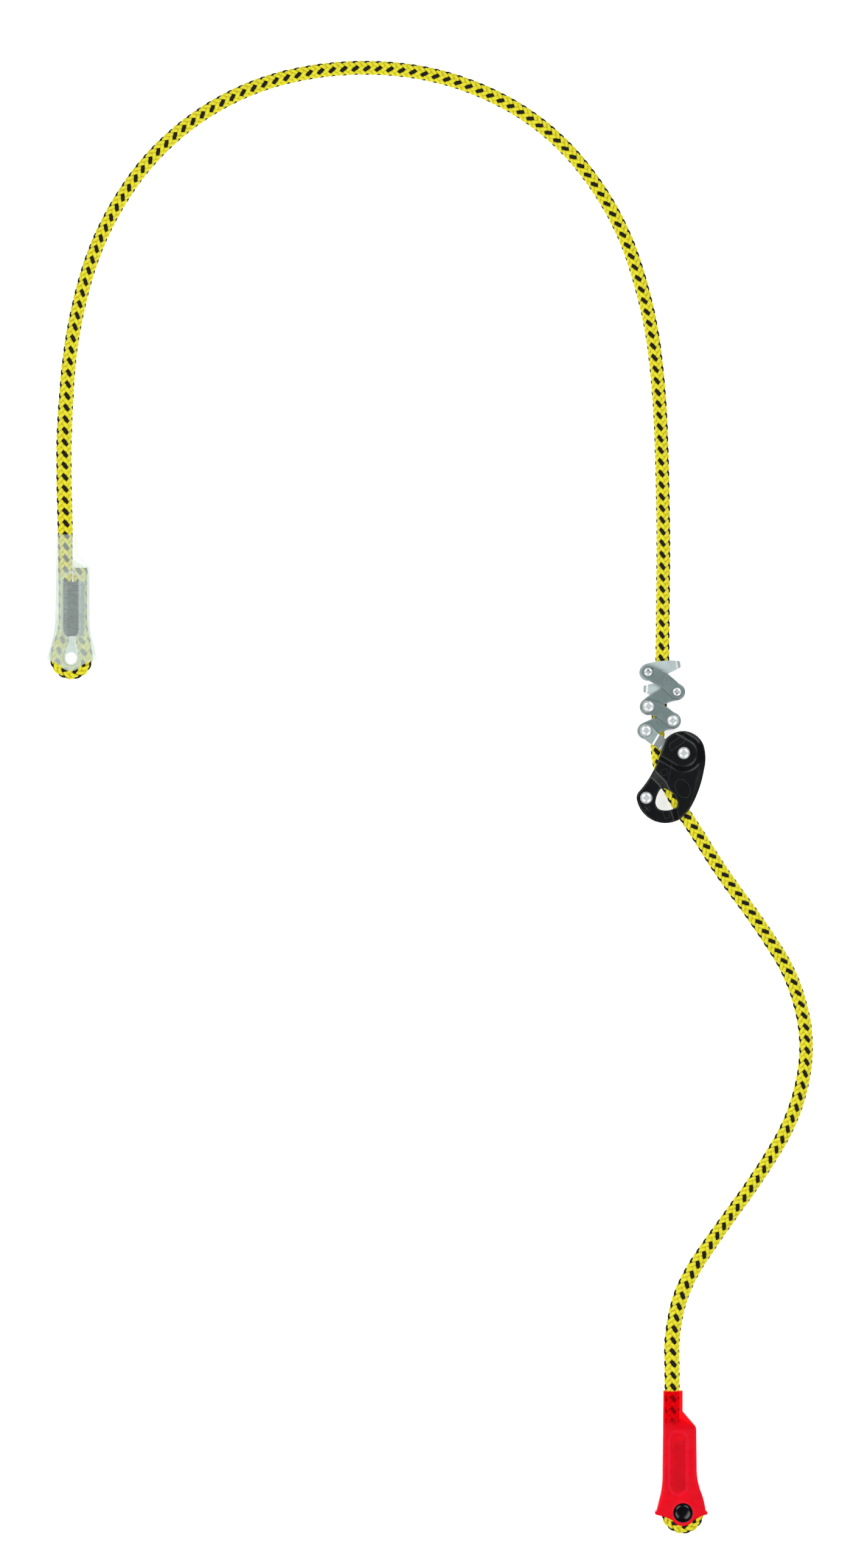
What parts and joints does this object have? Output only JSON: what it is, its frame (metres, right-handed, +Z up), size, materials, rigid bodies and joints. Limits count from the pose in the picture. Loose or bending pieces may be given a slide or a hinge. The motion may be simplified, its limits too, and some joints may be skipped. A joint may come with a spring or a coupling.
{
  "type": "rope grab",
  "caption": "Hinged link-chain rope grab with two thumb levers and a sheave body, on a braided lanyard rope that ends in two sewn eyes in moulded sleeves.",
  "frame": {"origin": "on the surface the lanyard lies on, below the middle of the grab's own bounding box", "axes": "+Y runs up the rope, from the body to the top lever; +Z is up, along every pivot; +X is towards the body's rounded flank"},
  "size_m": [0.6613, 1.2693, 0.03],
  "materials": {
    "link_alloy": "tumbled matte",
    "lever_alloy": "polished",
    "sheave_alloy": "satin",
    "rivet_steel": "turned",
    "bearing_steel": "ground",
    "bush_steel": "satin",
    "black_plate": "semi-gloss black",
    "rope": "braided",
    "stitching": "dense thread",
    "clear_plastic": "milky translucent",
    "thimble_plastic": "translucent",
    "red_plastic": "translucent red",
    "plug_plastic": "gloss black"
  },
  "bodies": {
    "body": {"side_plate_front": "black_plate", "side_plate_rear": "black_plate", "sheave_axle": "rivet_steel", "ear_rivet": "rivet_steel", "ear_spacer": "rivet_steel", "locating_pin": "rivet_steel", "axle_spacers": "bearing_steel", "axle_washers": "bearing_steel", "bearing_inner_race": "bearing_steel", "rope_upper": "rope", "rope_lower": "rope", "clear_sleeve": "clear_plastic", "clear_thimble": "thimble_plastic", "clear_stitching": "stitching", "red_sleeve": "red_plastic", "red_thimble": "red_plastic", "red_stitching": "stitching", "eye_plug": "plug_plastic"},
    "sheave": {"sheave": "sheave_alloy", "bearing_outer_race": "bearing_steel", "bearing_balls": "bearing_steel", "bearing_shields": "bearing_steel"},
    "body_link": {"body_link_front": "link_alloy", "body_link_rear": "link_alloy", "body_link_rivet": "rivet_steel"},
    "lower_link": {"lower_link_front": "link_alloy", "lower_link_rear": "link_alloy", "lower_link_bushes": "bush_steel"},
    "middle_link": {"middle_link_front": "link_alloy", "middle_link_rear": "link_alloy", "middle_link_rivets": "rivet_steel"},
    "upper_link": {"upper_link_front": "link_alloy", "upper_link_rear": "link_alloy", "upper_link_bush": "bush_steel"},
    "top_link": {"top_link_front": "link_alloy", "top_link_rear": "link_alloy", "top_link_rivets": "rivet_steel", "top_link_washers": "bush_steel", "lever_bushes": "bush_steel", "lever_spring": "bush_steel"},
    "top_lever": {"top_lever": "lever_alloy"},
    "second_lever": {"second_lever": "lever_alloy"}
  },
  "joints": [
    {"name": "sheave_spin", "type": "hinge", "parent": "body", "child": "sheave", "pos_m": [0.0104, -0.0103, 0.015], "axis": [0, 0, 1], "continuous": true},
    {"name": "body_link_pivot", "type": "hinge", "parent": "body", "child": "body_link", "pos_m": [0.0104, -0.0103, 0.015], "axis": [0, 0, 1], "range_deg": [0, 2]},
    {"name": "lower_link_pivot", "type": "hinge", "parent": "body_link", "child": "lower_link", "pos_m": [-0.0219, 0.0089, 0.015], "axis": [0, 0, 1], "range_deg": [-4, 0]},
    {"name": "chain_squeeze", "type": "hinge", "parent": "lower_link", "child": "middle_link", "pos_m": [0.0009, 0.0175, 0.015], "axis": [0, 0, 1], "range_deg": [0, 8]},
    {"name": "upper_link_pivot", "type": "hinge", "parent": "middle_link", "child": "upper_link", "pos_m": [-0.0198, 0.0297, 0.015], "axis": [0, 0, 1], "range_deg": [-12, 0]},
    {"name": "top_link_pivot", "type": "hinge", "parent": "upper_link", "child": "top_link", "pos_m": [0.0045, 0.0423, 0.015], "axis": [0, 0, 1], "range_deg": [0, 12]},
    {"name": "top_lever_pivot", "type": "hinge", "parent": "top_link", "child": "top_lever", "pos_m": [-0.0202, 0.0593, 0.015], "axis": [0, 0, 1], "range_deg": [-18, 8], "stiffness_Nm_per_rad": 0.02},
    {"name": "second_lever_pivot", "type": "hinge", "parent": "top_link", "child": "second_lever", "pos_m": [0.0045, 0.0423, 0.015], "axis": [0, 0, 1], "range_deg": [-6, 0]}
  ],
  "couplings": [
    {"joint": "body_link_pivot", "follows": "chain_squeeze", "ratio": 0.25},
    {"joint": "lower_link_pivot", "follows": "chain_squeeze", "ratio": -0.5},
    {"joint": "upper_link_pivot", "follows": "chain_squeeze", "ratio": -1.5},
    {"joint": "top_link_pivot", "follows": "chain_squeeze", "ratio": 1.5},
    {"joint": "second_lever_pivot", "follows": "chain_squeeze", "ratio": -0.75}
  ]
}
